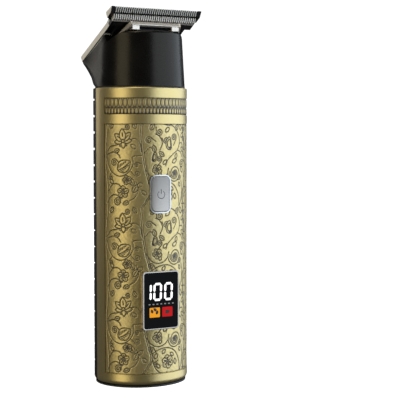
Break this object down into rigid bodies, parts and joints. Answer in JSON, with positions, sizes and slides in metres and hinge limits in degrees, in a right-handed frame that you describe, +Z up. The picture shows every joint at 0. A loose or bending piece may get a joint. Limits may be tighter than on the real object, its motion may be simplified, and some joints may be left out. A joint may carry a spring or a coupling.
{
  "type": "beard trimmer",
  "caption": "Cordless beard trimmer: oval body with an engraved metal front, grooved rear, lit display, push button and a wide toothed T-blade on a sloping head.",
  "frame": {"origin": "centre of the flat foot that the trimmer stands on", "axes": "+Z up the body towards the blade, -Y out of the front with the display and the button, +X to the right seen from behind the display face"},
  "size_m": [0.0424, 0.039, 0.1602],
  "materials": {
    "antique_brass": "cast antique brass with dark patina in the engraving",
    "black_satin": "satin black moulded plastic",
    "black_ribbed": "black moulded plastic with horizontal grooves",
    "foot_plastic": "black moulded plastic foot",
    "seal_rubber": "soft black rubber",
    "blade_steel": "ground blade steel, dark oxide between the teeth",
    "cutter_steel": "ground blade steel",
    "plate_steel": "rolled steel plate",
    "bracket_chrome": "bright plated spring steel",
    "guide_plastic": "black glass-filled plastic",
    "driver_plastic": "black acetal",
    "button_silver": "satin silver with a darker upper part",
    "rim_chrome": "thin bright rim",
    "display_glass": "dark glossy window with lit figures behind it",
    "display_black": "black display carrier",
    "board_green": "green board lacquer",
    "component_black": "moulded component bodies",
    "screw_steel": "zinc-plated steel screws",
    "cell_wrap": "blue shrink wrap",
    "nickel": "nickel strip",
    "foam_grey": "closed-cell foam",
    "frame_plastic": "dark grey moulded frame",
    "motor_zinc": "zinc-plated drawn steel can",
    "endcap_plastic": "natural plastic end cap",
    "bronze": "sintered bronze",
    "carbon": "carbon brush",
    "ferrite": "ferrite magnet",
    "lamination": "stacked iron sheets",
    "copper": "enamelled copper",
    "shaft_steel": "hardened steel shaft",
    "socket_steel": "stamped steel socket shell"
  },
  "bodies": {
    "trimmer": {"battery_cell": "cell_wrap", "battery_tabs": "nickel", "blade_mount_plate": "plate_steel", "blade_screws": "screw_steel", "board_components": "component_black", "board_screws": "screw_steel", "bottom_cap": "foot_plastic", "bottom_screws": "screw_steel", "bracket_screws": "screw_steel", "button_bezel": "rim_chrome", "charge_socket": "socket_steel", "cutter_guide": "guide_plastic", "display_bezel": "rim_chrome", "display_lens": "display_glass", "display_module": "display_black", "fixed_blade": "blade_steel", "foam_pad": "foam_grey", "front_casing": "antique_brass", "head_housing": "black_satin", "head_screws": "screw_steel", "head_seal": "seal_rubber", "inner_frame": "frame_plastic", "main_board": "board_green", "motor_brushes": "carbon", "motor_bushes": "bronze", "motor_can": "motor_zinc", "motor_end_cap": "endcap_plastic", "motor_magnets": "ferrite", "motor_plate": "plate_steel", "motor_screws": "screw_steel", "push_switch": "component_black", "rear_casing": "black_ribbed", "socket_tongue": "component_black", "tension_bracket": "bracket_chrome"},
    "cutter": {"moving_blade": "cutter_steel", "cutter_driver": "driver_plastic"},
    "rotor": {"motor_shaft": "shaft_steel", "armature_core": "lamination", "armature_windings": "copper", "commutator": "copper", "eccentric_cam": "driver_plastic"},
    "button": {"power_button": "button_silver"}
  },
  "joints": [
    {"name": "cutter_slide", "type": "slide", "parent": "trimmer", "child": "cutter", "axis": [1, 0, 0], "range_m": [-0.0009, 0.0009]},
    {"name": "rotor_spin", "type": "hinge", "parent": "trimmer", "child": "rotor", "pos_m": [0, -0.002, 0.118], "axis": [0, 0, 1], "continuous": true},
    {"name": "button_press", "type": "slide", "parent": "trimmer", "child": "button", "axis": [0, 1, 0], "range_m": [0, 0.0004], "stiffness_N_per_m": 800}
  ]
}
